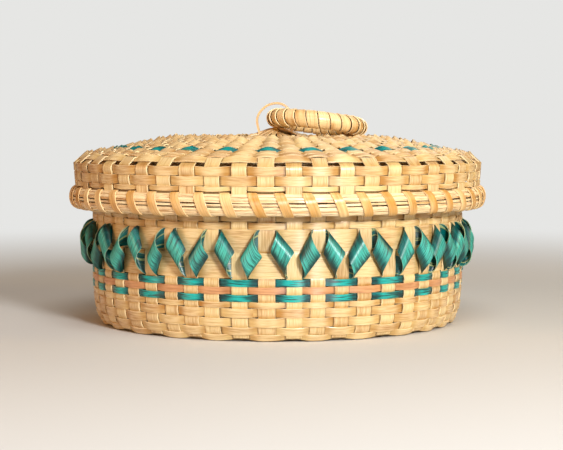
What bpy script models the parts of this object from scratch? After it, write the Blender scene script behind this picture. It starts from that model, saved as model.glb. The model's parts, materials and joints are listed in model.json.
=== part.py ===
"""A round lidded basket woven of ash splints, with a zigzag band of curled teal splint round its body.

Run it with: blender --background --python part.py

Lengths are in metres and turns in degrees. The basket stands on z = 0 with its axis on Z and its front
towards -Y. Turns are counted from the front towards +X.

A splint is a thin flat strip of ash. Here each one is a surface made from stations, the short lines that
cross the strip, and a Solidify modifier gives it its thickness. The standards are the uprights: they start
in a plate where they all cross, and every second one passes in front of the rows, so that each row is
straight behind a front standard and bends round in front of a back one.

The pieces belong to three bodies, each under its own empty: the body of the basket, the lid, which lifts
straight off, and the ring of the handle, which turns in its loop.
"""

import math

import bmesh
import bpy
from mathutils import Vector

# Splints
SPLINT = 0.0008  # thickness
GAP = 0.0003  # between two pieces that touch
LAYER = SPLINT + GAP  # from one layer of splint to the next

# Standards of the body and the lid
STANDARDS = 52
STANDARD_SHARE = 0.632  # of the way from one standard to the next on the wall, the rest being space
STANDARD_SLIT = 0.0004  # between two standards where they leave the plate
FRONT_TURN = -2.8  # the first standard that passes in front of the body's rows

# Wall of the body
BODY_RADIUS = 0.1245  # outside of the front standards, from the wide rows up
FOOT_DRAW_IN = 0.0046  # how much narrower the wall is at its foot
FOOT_BEND = 0.0032  # size of the bend between base and wall
BASE_WEAVE_INSET = 0.0025  # from the plate of the base to the weave on it
PLAIN_ROW = 0.0055  # heights of the rows from here on
NARROW_ROW = 0.0035
DYED_ROW = 0.0043
LOWER_WIDE_ROW = 0.0157
UPPER_WIDE_ROW = 0.0138
TOP_ROW = 0.0043
COVERED_ROW = 0.0160  # the lid hides it

# Rim of the body, under the lid
BODY_RIM_HEIGHT = 0.0130
BODY_HOOP = 0.0018  # thickness of the hoops inside and outside the wall
BODY_WRAPS = 26
BODY_WRAP_LEAN = 1.5  # from a wrap's foot to its top
WRAP_CLEARANCE = 0.0004  # between a wrap and the standards that it passes between

# Curled splint
CURL_STRIP = 0.0125  # width of the strip
CURL_RADIUS = 0.0058  # half the width of a curl, square to its own axis
CURL_DEPTH = 0.0083  # how far a curl stands out from the strip's flats
CURL_STEPS = 6  # stations in one turn of a curl
CURL_TURN = 1.0  # from the middle of the space between two standards to the curl over it

# Lid
LID_CLEARANCE = 0.0015  # all round, between the body's rim and the lid's
LID_HOOP = 0.0012  # thickness of the hoop inside the lid's wall
LID_TAPER = 0.0019  # how much narrower the lid's wall is at its rim
LID_ROWS = (0.0055, 0.0058, 0.0036)  # heights, from the shoulder down
LID_RIM_HEIGHT = 0.0125
LID_RIM_DEPTH = 0.0026  # thickness of the bundle outside the wall
LID_RIM_ROUND = 0.0034  # how high the round of the bundle's edges is
LID_RIM_LIP = 0.0016  # how far the bundle runs flat before its edges round
LID_WRAP_LEAN = 2.3  # from a wrap's top to its foot
LID_WRAP_LEAN_START = 0.25  # share of that lean above the flat of the bundle's face, and again below it
SHOULDER_RUN = 0.0078
SHOULDER_RISE = 0.0041
DOME_RISE = 0.0124  # from the shoulder's edge to the plate
DOME_SHAPE = 1.3  # 1 makes the dome a cone, and more makes it rounder
SHOULDER_ROW = 0.0042  # how much of the shoulder's run its row covers
TEAL_RING_WIDTH = 0.0064
TEAL_RING_DISTANCE = 0.0189  # from the teal row to the shoulder's edge
TOP_ROWS = 4  # between the teal row and the shoulder's edge
DIP_RUN = 0.0040  # in which a back standard goes down behind the weave
PEAK_RADIUS = 0.0300  # of the low peak where the standards cross
PEAK_RISE = 0.0055

# Handle
RING_RADIUS = 0.0279  # to the middle of the tube
RING_CORE = 0.0046  # radius of the tube inside the wrapping
RING_WRAPS = 20
RING_WRAP_SPACE = 0.0007  # between two turns of the wrapping
RING_WRAP_STEPS = 6  # stations in one turn of the wrapping
HANDLE_OFFSET = -0.0012  # of the loop and the ring's tube in it, from the lid's axis
LOOP_THICKNESS = 0.0012
LOOP_WIDTH = 0.0045
LOOP_SIDE_ROOM = 0.0053  # between the ring's tube and a leg of the loop
LOOP_HEADROOM = 0.0028  # between the ring's tube and the top of the loop
LOOP_STEPS = 10

# How the pieces are divided
ROW_SIDES = STANDARDS // 2  # a row has one flat for each front standard
PITCH = 360 / STANDARDS
BUNDLE_SIDES = STANDARDS
PEAK_SIDES = STANDARDS // 2
CORE_SIDES = 24
CORE_TUBE_SIDES = RING_WRAP_STEPS
SMOOTH_BELOW = math.radians(50)

# Colours as sRGB, with roughness
ASH = (0xE6C491, 0.55)
PALE_ASH = (0xF0D6A8, 0.55)
TEAL = (0x0E857C, 0.38)
BROWN = (0xC07B48, 0.50)


def at(radius, turn, height):
    """The point this far from the axis, on this turn and height."""
    angle = math.radians(turn)
    return Vector((radius * math.sin(angle), -radius * math.cos(angle), height))


def across(point, turn, width):
    """A station: the two ends of a line of this width, its middle at this (radius, height) on this turn."""
    angle = math.radians(turn)
    half = Vector((math.cos(angle), math.sin(angle), 0)) * width / 2
    middle = at(point[0], turn, point[1])
    return [middle - half, middle + half]


def direction(start, end):
    """The unit vector from one (radius, height) point to another."""
    run, rise = end[0] - start[0], end[1] - start[1]
    length = math.hypot(run, rise)
    return run / length, rise / length


def offset_profile(profile, depth):
    """The profile moved sideways by depth, to its left as it runs on, with its corners mitred."""
    steps = [direction(p, q) for p, q in zip(profile, profile[1:])]
    moved = []
    for i, (radius, height) in enumerate(profile):
        before = steps[max(i - 1, 0)]
        after = steps[min(i, len(steps) - 1)]
        normal = (-(before[1] + after[1]), before[0] + after[0])
        scale = depth / (1 + before[0] * after[0] + before[1] * after[1])
        moved.append((radius + normal[0] * scale, height + normal[1] * scale))
    return moved


def point_on(profile, axis, value):
    """The profile's point whose radius (axis 0) or height (axis 1) is value."""
    for start, end in zip(profile, profile[1:]):
        low, high = sorted((start[axis], end[axis]))
        if low < high and low <= value <= high:
            share = (value - start[axis]) / (end[axis] - start[axis])
            return tuple(s + (e - s) * share for s, e in zip(start, end))
    raise ValueError(f"the profile doesn't reach {value}")


def linear(channel):
    """One sRGB channel as linear light."""
    return channel / 12.92 if channel <= 0.04045 else ((channel + 0.055) / 1.055) ** 2.4


def finish(name, colour):
    """A material of the piece's own."""
    code, roughness = colour
    material = bpy.data.materials.new(name)
    material.use_nodes = True
    shader = material.node_tree.nodes["Principled BSDF"]
    channels = [(code >> shift & 255) / 255 for shift in (16, 8, 0)]
    shader.inputs["Base Color"].default_value = [linear(c) for c in channels] + [1]
    shader.inputs["Roughness"].default_value = roughness
    material.diffuse_color = shader.inputs["Base Color"].default_value
    return material


def empty(name, parent=None, location=(0, 0, 0), rotation=(0, 0, 0)):
    """An empty that carries the pieces of one body."""
    holder = bpy.data.objects.new(name, None)
    holder.parent = parent
    holder.location = location
    holder.rotation_euler = rotation
    bpy.context.scene.collection.objects.link(holder)
    return holder


def place(name, bm, parent, colour):
    """Makes an object of a mesh, shaded smooth except at its edges and sharp folds."""
    for face in bm.faces:
        face.smooth = True
    for edge in bm.edges:
        edge.smooth = not edge.is_boundary and edge.calc_face_angle() < SMOOTH_BELOW
    mesh = bpy.data.meshes.new(name)
    bm.to_mesh(mesh)
    bm.free()
    mesh.materials.append(finish(name + "_finish", colour))
    piece = bpy.data.objects.new(name, mesh)
    piece.parent = parent
    bpy.context.scene.collection.objects.link(piece)
    return piece


def thicken(piece, thickness, side):
    """Gives a surface its thickness: behind its face if side is -1, in front if 1, on both sides if 0."""
    solidify = piece.modifiers.new("thickness", "SOLIDIFY")
    solidify.thickness = thickness
    solidify.offset = side
    solidify.use_even_offset = True


def add_stations(bm, stations, closed):
    """Faces between each station and the next, each station a list of vertices or points."""
    lines = [
        [p if isinstance(p, bmesh.types.BMVert) else bm.verts.new(p) for p in line] for line in stations
    ]
    following = lines[1:] + lines[:1] if closed else lines[1:]
    for line, after in zip(lines, following):
        for i in range(len(line) - 1):
            bm.faces.new((line[i], after[i], after[i + 1], line[i + 1]))


def splint(name, stations, closed, parent, colour, thickness=SPLINT, side=-1):
    """A strip that runs through the stations."""
    bm = bmesh.new()
    add_stations(bm, stations, closed)
    piece = place(name, bm, parent, colour)
    thicken(piece, thickness, side)
    return piece


def band(name, edges, flat_turn, parent, colour, thickness=SPLINT, sides=ROW_SIDES, side=-1):
    """A hoop between two (radius, height) edges, the lower or outer first. Its flats are as far out as the
    edges say, and the middle of one of them is on flat_turn."""
    corner = 1 / math.cos(math.pi / sides)
    turns = [flat_turn + (i + 0.5) * 360 / sides for i in range(sides)]
    stations = [[at(radius * corner, turn, height) for radius, height in edges] for turn in turns]
    return splint(name, stations, True, parent, colour, thickness, side)


def star(plate_height, front, back, first_turn, looks_up):
    """A star of standards: strips that leave the round plate where they cross and run through the (radius,
    height) points of front and back by turns. Returns the mesh and the plate's rim, which is still open."""
    bm = bmesh.new()
    rim = []
    for i in range(STANDARDS):
        turn = first_turn + i * PITCH
        start = [bm.verts.new(p) for p in across((PLATE_RADIUS, plate_height), turn, STANDARD_WIDTH)]
        rim += start
        route = back if i % 2 else front
        stations = [start] + [across(point, turn, STANDARD_WIDTH) for point in route]
        if not looks_up:
            stations = [line[::-1] for line in stations]
        add_stations(bm, stations, False)
    return bm, rim


def wrapping(name, section, first_turn, count, lean, width, parent, colour):
    """A splint wound round a rim, count times. section has the (radius, height) points that each turn of it
    folds over, from the top of the inside out and down, each with the share of the lean it has by then."""
    inner = [point for point, share in section]
    outer = offset_profile(inner[-1:] + inner + inner[:1], SPLINT)[1:-1]
    bm = bmesh.new()
    stations = []
    for i in range(count):
        for under, over, (_, share) in zip(inner, outer, section):
            turn = first_turn + i * 360 / count + lean * share
            line = [bm.verts.new(p) for p in across(over, turn, width) + across(under, turn, width)[::-1]]
            stations.append(line + line[:1])
    add_stations(bm, stations, True)
    return place(name, bm, parent, colour)


def gap_between_standards(radius):
    """How wide the space between two standards is, at this distance from the axis."""
    return 2 * radius * math.tan(math.radians(PITCH / 2)) - STANDARD_WIDTH


def clear_scene():
    for old in list(bpy.data.objects):
        bpy.data.objects.remove(old)


STANDARD_WIDTH = STANDARD_SHARE * BODY_RADIUS * math.radians(PITCH)
PLATE_RADIUS = (STANDARD_WIDTH + STANDARD_SLIT) / (2 * math.tan(math.radians(PITCH / 2)))
BACK = 2 * LAYER  # depth of the back standards behind the front ones
WALL = BACK + SPLINT  # thickness of the woven wall

# Profile of the body: the outside of its front standards, from the base up
FOOT_RADIUS = BODY_RADIUS - FOOT_DRAW_IN
FOOT_TOP = offset_profile(
    [(FOOT_RADIUS - FOOT_BEND, 0), (FOOT_RADIUS, FOOT_BEND), (FOOT_RADIUS, 2 * FOOT_BEND)], LAYER
)[1][1]
LOWER_ROWS = (
    ("plain_row_1", PLAIN_ROW, ASH),
    ("plain_row_2", PLAIN_ROW, ASH),
    ("plain_row_3", PLAIN_ROW, ASH),
    ("narrow_row", NARROW_ROW, ASH),
    ("teal_row_lower", DYED_ROW, TEAL),
    ("brown_row", DYED_ROW, BROWN),
    ("teal_row_upper", DYED_ROW, TEAL),
)
UPPER_ROWS = (
    ("wide_row_lower", LOWER_WIDE_ROW, ASH),
    ("wide_row_upper", UPPER_WIDE_ROW, ASH),
    ("top_row_1", TOP_ROW, ASH),
    ("top_row_2", TOP_ROW, ASH),
    ("covered_row", COVERED_ROW, ASH),
)
WALL_KNEE = FOOT_TOP + sum(height + GAP for name, height, colour in LOWER_ROWS)
LOWER_WIDE_TOP = WALL_KNEE + GAP + LOWER_WIDE_ROW
ROWS_TOP = WALL_KNEE + sum(height + GAP for name, height, colour in UPPER_ROWS)
BODY_RIM_BOTTOM = ROWS_TOP + LAYER + GAP  # a wrap passes between the rows and the rim
BODY_RIM_TOP = BODY_RIM_BOTTOM + BODY_RIM_HEIGHT
BODY_TOP = BODY_RIM_TOP + LAYER
BODY_PROFILE = [
    (PLATE_RADIUS, 0),
    (FOOT_RADIUS - FOOT_BEND, 0),
    (FOOT_RADIUS, FOOT_BEND),
    (BODY_RADIUS, WALL_KNEE),
    (BODY_RADIUS, BODY_RIM_TOP),
]
BODY_RIM_RADIUS = (BODY_RADIUS + GAP + BODY_HOOP) / math.cos(math.radians(PITCH / 2)) + GAP
BODY_OUTSIDE = BODY_RIM_RADIUS + SPLINT

# Profile of the lid: the outside of its front standards, from the plate out and down. Its heights are
# counted from the foot of the shoulder.
LID_RIM_TOP = -sum(height + GAP for height in LID_ROWS) - GAP - LAYER
LID_RIM_BOTTOM = LID_RIM_TOP - LID_RIM_HEIGHT
LID_RIM_WALL = BODY_OUTSIDE + LID_CLEARANCE + LAYER + LID_HOOP + GAP + WALL
LID_RADIUS = LID_RIM_WALL + LID_TAPER
SHOULDER_RADIUS = LID_RADIUS - SHOULDER_RUN
TEAL_RING_INNER = SHOULDER_RADIUS - TEAL_RING_DISTANCE - TEAL_RING_WIDTH
PLATE_HEIGHT = SHOULDER_RISE + DOME_RISE


def dome_height(radius):
    """Height of the dome's outside between the plate and the shoulder."""
    share = (radius - PLATE_RADIUS) / (SHOULDER_RADIUS - PLATE_RADIUS)
    return PLATE_HEIGHT - DOME_RISE * share**DOME_SHAPE


LID_PROFILE = [
    (PLATE_RADIUS, PLATE_HEIGHT),
    (TEAL_RING_INNER, dome_height(TEAL_RING_INNER)),
    (SHOULDER_RADIUS, SHOULDER_RISE),
    (LID_RADIUS, 0),
    (LID_RIM_WALL, LID_RIM_BOTTOM),
]
# The lid's back standards rest on the hoops of the body's rim, and its rows on the wraps between them
BACK_UNDERSIDE = offset_profile(LID_PROFILE, -WALL)
ROW_UNDERSIDE = offset_profile(LID_PROFILE, -LAYER - SPLINT)
LID_LIFT = GAP + max(
    BODY_RIM_TOP - point_on(BACK_UNDERSIDE, 0, BODY_RIM_RADIUS)[1],
    BODY_TOP - point_on(ROW_UNDERSIDE, 0, BODY_OUTSIDE)[1],
)

# The ring lies with its tube on the peak at one end, and on the plate at the other
WRAP_RADIUS = RING_CORE + 2 * GAP
RING_TUBE = WRAP_RADIUS + SPLINT / math.cos(math.pi / RING_WRAP_STEPS)
RING_SLOPE = math.degrees(math.asin(PEAK_RISE / (2 * RING_RADIUS)))
RING_HEIGHT = PLATE_HEIGHT + PEAK_RISE + GAP + RING_TUBE


def make_base(parent):
    """The star of body standards, flat on the ground where they cross, and the weave that lies on it."""
    back_line = offset_profile(BODY_PROFILE, BACK)
    bend_start = FOOT_RADIUS - FOOT_BEND - BACK * math.sqrt(2)
    back = [(bend_start, 0)] + back_line[2:-1] + [(BODY_RADIUS - BACK, BODY_RIM_TOP)]
    bm, rim = star(0, BODY_PROFILE[1:], back, FRONT_TURN, looks_up=False)
    bm.faces.new(rim[::-1])
    thicken(place("body_standards", bm, parent, ASH), SPLINT, -1)
    weave_outer = bend_start - (SPLINT + GAP) * math.sqrt(2) - LAYER
    edges = [(PLATE_RADIUS + BASE_WEAVE_INSET, LAYER + SPLINT), (weave_outer, LAYER + SPLINT)]
    band("base_weave", edges[::-1], FRONT_TURN, parent, ASH)


def make_body_rows(parent):
    """The rows of the wall, from the one in the bend of the foot up to the one that the lid covers."""
    line = offset_profile(BODY_PROFILE, LAYER)
    foot = [point_on(line, 1, LAYER), point_on(line, 1, FOOT_TOP - SPLINT)]
    band("foot_row", foot, FRONT_TURN, parent, ASH)
    bottom = FOOT_TOP + GAP
    for name, height, colour in LOWER_ROWS + UPPER_ROWS:
        edges = [point_on(line, 1, bottom), point_on(line, 1, bottom + height)]
        band(name, edges, FRONT_TURN, parent, colour)
        bottom += height + GAP


def make_body_rim(parent):
    """Two hoops with the standards' ends between them, and the splint wound round all three."""
    outer = BODY_RADIUS + GAP + BODY_HOOP
    inner = BODY_RADIUS - WALL - GAP
    band(
        "body_rim_outer_hoop",
        [(outer, BODY_RIM_BOTTOM), (outer, BODY_RIM_TOP)],
        FRONT_TURN,
        parent,
        ASH,
        BODY_HOOP,
        STANDARDS,
    )
    band(
        "body_rim_inner_hoop",
        [(inner, BODY_RIM_BOTTOM), (inner, BODY_RIM_TOP)],
        FRONT_TURN + PITCH,
        parent,
        ASH,
        BODY_HOOP,
    )
    inside = inner - BODY_HOOP - GAP
    low, high = BODY_RIM_BOTTOM - GAP, BODY_RIM_TOP + GAP
    section = [
        ((inside, high), 1),
        ((BODY_RIM_RADIUS, high), 1),
        ((BODY_RIM_RADIUS, low), 0),
        ((inside, low), 0),
    ]
    width = gap_between_standards(BODY_RADIUS - WALL) - 2 * WRAP_CLEARANCE
    wrapping(
        "body_rim_wrapping",
        section,
        FRONT_TURN + PITCH / 2,
        BODY_WRAPS,
        BODY_WRAP_LEAN,
        width,
        parent,
        PALE_ASH,
    )


def curl_stations(middle_turn, middle_height, wall_radius, rising):
    """The stations of one curl: lines along its own slanting axis, which the strip winds round once."""
    step = (LOWER_WIDE_ROW + UPPER_WIDE_ROW) / 2 + GAP
    cosine = step / (2 * math.pi * CURL_RADIUS)
    sine = math.sqrt(1 - cosine**2)
    upright = 1 if rising else -1
    half_line = CURL_STRIP / 2 / sine
    advance = step / sine
    stations = []
    for i in range(CURL_STEPS + 1):
        angle = 2 * math.pi * i / CURL_STEPS
        along = advance * (i / CURL_STEPS - 0.5)
        sideways = CURL_RADIUS * math.sin(angle)
        out = CURL_DEPTH / 2 * (1 - math.cos(angle))
        line = []
        for end in (-upright, upright):
            reach = along + end * half_line
            run = reach * cosine + sideways * sine
            rise = upright * (reach * sine - sideways * cosine)
            turn = middle_turn + math.degrees(run / wall_radius)
            line.append(at(wall_radius + out, turn, middle_height + rise))
        stations.append(line)
    return stations


def make_curls(parent):
    """One strip that goes round the body on the two wide rows, and curls outwards over each space between
    two standards on its way from one row to the other."""
    corner = math.hypot(BODY_RADIUS, STANDARD_WIDTH / 2)
    wall_radius = (corner + GAP) / math.cos(math.radians(PITCH / 2)) + SPLINT / 2
    middle = LOWER_WIDE_TOP + GAP / 2 + (UPPER_WIDE_ROW - LOWER_WIDE_ROW) / 4
    stations = []
    for i in range(STANDARDS):
        turn = FRONT_TURN + (i + 0.5) * PITCH + CURL_TURN
        stations += curl_stations(turn, middle, wall_radius, rising=i % 2 == 1)
    splint("curl_strip", stations, True, parent, TEAL, side=0)


def make_dome(parent):
    """The star of lid standards, with the low peak where they cross, and the rows woven through it."""
    back_line = offset_profile(LID_PROFILE, -BACK)
    dip = point_on(back_line, 0, PLATE_RADIUS + DIP_RUN)
    front_turn = FRONT_TURN + PITCH
    back = [dip] + back_line[1:-1] + [(LID_RIM_WALL - BACK, LID_RIM_BOTTOM)]
    bm, rim = star(PLATE_HEIGHT, LID_PROFILE[1:], back, front_turn, looks_up=True)
    peak = bm.verts.new((0, 0, PLATE_HEIGHT + PEAK_RISE))
    rim_per_side = len(rim) // PEAK_SIDES
    foot = []
    for i in range(PEAK_SIDES):
        turn = front_turn + i * 360 / PEAK_SIDES + PITCH / 2
        foot.append(bm.verts.new(at(PEAK_RADIUS, turn, PLATE_HEIGHT)))
    for i, vertex in enumerate(foot):
        after = foot[(i + 1) % PEAK_SIDES]
        bm.faces.new((peak, vertex, after))
        span = [rim[(i * rim_per_side + k) % len(rim)] for k in range(rim_per_side + 1)]
        for first, second in zip(span, span[1:]):
            bm.faces.new((vertex, first, second))
        bm.faces.new((vertex, span[-1], after))
    thicken(place("lid_standards", bm, parent, ASH), SPLINT, -1)
    line = offset_profile(LID_PROFILE, -LAYER)
    inner_start = dip[0] + WALL
    rings = [("lid_inner_weave", inner_start, line[1][0] - GAP, ASH)]
    teal_end = line[1][0] + TEAL_RING_WIDTH
    rings.append(("lid_teal_row", line[1][0], teal_end, TEAL))
    room = line[2][0] - GAP - teal_end
    for i in range(TOP_ROWS):
        start = teal_end + room * i / TOP_ROWS + GAP
        end = teal_end + room * (i + 1) / TOP_ROWS
        rings.append((f"lid_top_row_{i + 1}", start, end, ASH))
    rings.append(("lid_shoulder_row", line[2][0], line[2][0] + SHOULDER_ROW, ASH))
    for name, start, end, colour in rings:
        edges = [point_on(line, 0, end), point_on(line, 0, start)]
        band(name, edges, front_turn, parent, colour)
    top = -GAP
    for i, height in enumerate(LID_ROWS):
        edges = [point_on(line, 1, top - height), point_on(line, 1, top)]
        band(f"lid_side_row_{i + 1}", edges, front_turn, parent, ASH)
        top -= height + GAP


def make_lid_rim(parent):
    """A hoop inside the lid's wall, a half-round bundle of fine splints outside, and the splint wound
    round both, once through every space between two standards."""
    front_turn = FRONT_TURN + PITCH
    wall_top = point_on(LID_PROFILE, 1, LID_RIM_TOP)[0]
    hoop_outer = LID_RIM_WALL - WALL - GAP
    band(
        "lid_rim_inner_hoop",
        [(hoop_outer, LID_RIM_BOTTOM), (hoop_outer, LID_RIM_TOP)],
        FRONT_TURN,
        parent,
        ASH,
        LID_HOOP,
    )
    outer = wall_top + GAP + LID_RIM_DEPTH
    corners = [
        (LID_RIM_WALL + GAP, LID_RIM_BOTTOM),
        (wall_top + GAP + LID_RIM_LIP, LID_RIM_BOTTOM),
        (outer, LID_RIM_BOTTOM + LID_RIM_ROUND),
        (outer, LID_RIM_TOP - LID_RIM_ROUND),
        (wall_top + GAP + LID_RIM_LIP, LID_RIM_TOP),
        (wall_top + GAP, LID_RIM_TOP),
    ]
    bm = bmesh.new()
    scale = 1 / math.cos(math.pi / BUNDLE_SIDES)
    turns = [front_turn + (i + 0.5) * 360 / BUNDLE_SIDES for i in range(BUNDLE_SIDES)]
    rings = [[at(radius * scale, turn, height) for radius, height in corners] for turn in turns]
    lines = [[bm.verts.new(p) for p in ring] for ring in rings]
    add_stations(bm, [line + line[:1] for line in lines], True)
    place("lid_rim_bundle", bm, parent, PALE_ASH)
    bundle_face = [(radius * scale, height) for radius, height in corners[1:-1]]
    low_lip, lower, upper, high_lip = offset_profile(bundle_face, -GAP)
    inside = hoop_outer - LID_HOOP - GAP
    low, high = LID_RIM_BOTTOM - GAP, LID_RIM_TOP + GAP
    section = [
        ((inside, high), 0),
        ((high_lip[0], high), 0),
        (upper, LID_WRAP_LEAN_START),
        (lower, 1 - LID_WRAP_LEAN_START),
        ((low_lip[0], low), 1),
        ((inside, low), 1),
    ]
    width = gap_between_standards(wall_top - WALL) - 2 * WRAP_CLEARANCE
    wrapping(
        "lid_rim_wrapping",
        section,
        FRONT_TURN + PITCH / 2,
        STANDARDS,
        LID_WRAP_LEAN,
        width,
        parent,
        ASH,
    )


def make_loop(parent):
    """The thin loop that stands on the peak, over the ring's tube."""
    half_span = RING_TUBE + LOOP_SIDE_ROOM + LOOP_THICKNESS
    top = RING_TUBE + LOOP_HEADROOM + LOOP_THICKNESS
    route = []
    for i in range(LOOP_STEPS + 1):
        angle = math.pi * (1 - i / LOOP_STEPS)
        route.append((half_span * math.cos(angle), RING_HEIGHT + top * math.sin(angle)))
    feet = []
    for side in (-1, 1):
        inner = abs(HANDLE_OFFSET + side * (half_span - LOOP_THICKNESS))
        foot = PLATE_HEIGHT + PEAK_RISE * (1 - inner / PEAK_RADIUS) + GAP
        feet.append((side * half_span, foot))
    route = feet[:1] + route + feet[1:]
    stations = []
    for run, height in route:
        stations.append([Vector((run + HANDLE_OFFSET, end * LOOP_WIDTH / 2, height)) for end in (-1, 1)])
    splint("handle_loop", stations, False, parent, PALE_ASH, LOOP_THICKNESS)


def ring_point(radius, turn, around):
    """A point on a tube of this radius round the ring's middle line, with the ring's hinge at the origin."""
    major = math.radians(turn)
    minor = math.radians(around)
    reach = RING_RADIUS + radius * math.cos(minor)
    return Vector(
        (RING_RADIUS - reach * math.cos(major), reach * math.sin(major), radius * math.sin(minor))
    )


def make_ring(parent):
    """The ring of the handle: a round core, and a splint wound round it."""
    bpy.ops.mesh.primitive_torus_add(
        major_radius=RING_RADIUS,
        minor_radius=RING_CORE,
        major_segments=CORE_SIDES,
        minor_segments=CORE_TUBE_SIDES,
    )
    core = bpy.context.active_object
    core.name = core.data.name = "ring_core"
    core.data.materials.append(finish("ring_core_finish", ASH))
    core.data.shade_smooth()
    core.parent = parent
    core.location = (RING_RADIUS, 0, 0)
    pitch = 360 / RING_WRAPS
    space = math.degrees(RING_WRAP_SPACE / RING_RADIUS)
    stations = []
    for i in range(RING_WRAPS * RING_WRAP_STEPS):
        turn = pitch * i / RING_WRAP_STEPS
        around = 360 * i / RING_WRAP_STEPS
        ends = (turn - (pitch - space) / 2, turn + (pitch - space) / 2)
        stations.append([ring_point(WRAP_RADIUS, end, around) for end in ends])
    least = min(
        (stations[i - RING_WRAP_STEPS][1] - stations[i][0]).length for i in range(len(stations))
    )
    print(f"least gap between two turns of the ring's wrapping: {least * 1000:.2f} mm")
    splint("ring_wrapping", stations, True, parent, PALE_ASH, side=1)


def main():
    clear_scene()
    basket = empty("basket")
    lid = empty("lid", basket, (0, 0, LID_LIFT))
    ring = empty("ring", lid, (HANDLE_OFFSET, 0, RING_HEIGHT), (0, math.radians(RING_SLOPE), 0))
    make_base(basket)
    make_body_rows(basket)
    make_body_rim(basket)
    make_curls(basket)
    make_dome(lid)
    make_lid_rim(lid)
    make_loop(lid)
    make_ring(ring)


main()
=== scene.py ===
"""The looks of a lidded basket of ash splint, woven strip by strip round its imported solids.

Lengths are in metres and turns in radians, counted from the front (-Y) towards +X. The basket stands on
z = 0 with its axis on Z.

Every splint is a strip with its own thickness, cut edges and grain. The standards are the uprights: each one
runs from the top of the wall on one side, through the middle of the base or the lid, and up the other side.
The rows go round and pass in front of every second standard, and each row does the opposite of the next one.
"""

import json
import math

import bpy
import numpy as np
from bpy.props import FloatProperty, FloatVectorProperty, IntProperty, PointerProperty
from mathutils import Euler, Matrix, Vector


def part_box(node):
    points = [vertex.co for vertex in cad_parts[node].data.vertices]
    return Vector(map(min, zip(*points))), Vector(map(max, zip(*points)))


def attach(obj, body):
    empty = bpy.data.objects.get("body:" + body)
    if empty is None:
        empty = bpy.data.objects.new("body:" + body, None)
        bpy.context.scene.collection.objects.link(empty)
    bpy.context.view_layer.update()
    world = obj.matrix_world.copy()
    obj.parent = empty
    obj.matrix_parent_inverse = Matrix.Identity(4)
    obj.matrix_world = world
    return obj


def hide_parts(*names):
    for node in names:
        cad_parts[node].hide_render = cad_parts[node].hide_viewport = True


bl_info = {
    "name": "Lidded splint basket",
    "version": (1, 0, 0),
    "blender": (4, 5, 0),
    "location": "View3D > Sidebar > Basket",
    "description": "Weaves a lidded basket of ash splint with a zigzag of curled teal splint",
    "category": "Object",
}

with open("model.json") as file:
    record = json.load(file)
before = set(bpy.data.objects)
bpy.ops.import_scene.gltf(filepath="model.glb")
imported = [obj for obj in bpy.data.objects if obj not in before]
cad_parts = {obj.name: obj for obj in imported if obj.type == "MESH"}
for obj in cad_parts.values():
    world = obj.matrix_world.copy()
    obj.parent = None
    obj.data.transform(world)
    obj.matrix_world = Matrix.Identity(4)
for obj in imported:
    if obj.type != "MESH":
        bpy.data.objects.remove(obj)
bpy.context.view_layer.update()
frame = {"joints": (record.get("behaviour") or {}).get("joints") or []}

# Rows of the lid that lie like leaves, and rows that the base and the lid hide
LEAFY = ("lid_inner", "lid_top", "lid_shoulder")
HIDDEN_ROWS = ("base_weave", "covered_row")

# Splints
STANDARDS = 52
PITCH = 2 * math.pi / STANDARDS
FRONT_TURN = math.radians(-2.8)  # standard 0
EDGE_ROUND = 0.00022  # how far a cut edge is worn round
EDGE_SHARE = 0.12  # of the splint's width, which that never passes
EDGE_DROP = 0.8  # of that, how far the edge lies lower than the face
PATTERN = 40  # metres of grain, from which each splint takes its own part
STATIONS = 6  # of a row, from one standard to the next
HIDDEN_STATIONS = 4  # of the rows inside the base and under the lid

# Middle of the weave as (radius, height) corners, and how round each corner is
BODY_CORNERS = [(0, 0.00225), (0.1183, 0.00225), (0.1222, 0.0090), (0.1236, 0.0290), (0.1236, 0.1086)]
BODY_BENDS = [0.0008, 0.0240, 0.0600]
LID_CORNERS = [
    (0, 0.1208),
    (0.0720, 0.1220),
    (0.1060, 0.1158),
    (0.1305, 0.1115),
    (0.1360, 0.1075),
    (0.13403, 0.0779),
]
LID_BENDS = [0.080, 0.150, 0.020, 0.0040]

BASE_ROWS = 14
BASE_MIDDLE = 0.0320  # radius inside which the standards only cross
PILE_GAP = 0.001  # from where they are all down on the base or the dome to the first row
BASE_EDGE = 0.1125
FOOT_MIDDLE = 0.0029  # height of the middle of the row that stands round the foot
FOOT_ROW = 0.0044  # its width
COVERED_ROWS = 3  # splints in the row that the lid covers
LID_INNER_ROWS = 11
LID_MIDDLE = 0.0320
TEAL_INNER = 0.1038  # radii of the dome's teal row
TEAL_OUTER = 0.1102
SHOULDER_START = 0.1272  # radius at which the row over the shoulder begins
SHOULDER_END = 0.1098  # its height, with dark slots between it and the wall's first row
TOP_ROWS = 4
ROW_SPACE = 0.0003  # between two rows of the base or the dome
FOOT_SPACE = 0.0002  # between the base's last row and the foot row
ROW_GAP = 0.00012  # by which any row is narrower than its place
FOOT_GAP = 0.0006  # between the foot row and the first plain one
SIDE_ROW_GAPS = (0.0, 0.0, 0.0006)  # under each row of the lid's wall
LAPPED = 2  # standards over which the end of a row lies on its start
LAP = 0.9  # how many thicknesses the end lies outside the start
LAP_RISE = 0.5  # of the way to the next standard, over which the end rises on the start
PLAIN_ROW_END = math.radians(-6.2)  # where the end of the third plain row shows in front
BASE_LEVELS = 0.0040  # how high the crossing standards pile up inside
LID_LEVELS = 0.0086
PILE_CURVE = 0.7  # below 1 the pile is blunt
WALL_BEND = 0.00045  # how far a row pushes the standards of a wall in or out
BEND_EASE = 0.0022  # from a row's edge to where the standard has given way to it
BEND_SHARE = 0.42  # of the row's width, which that never passes
LEAST_STEP = 0.0006  # between two stations of a standard
ROW_FLATNESS = 0.7  # below 1 a wall's row lies flat over a standard and dives at its edge

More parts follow.
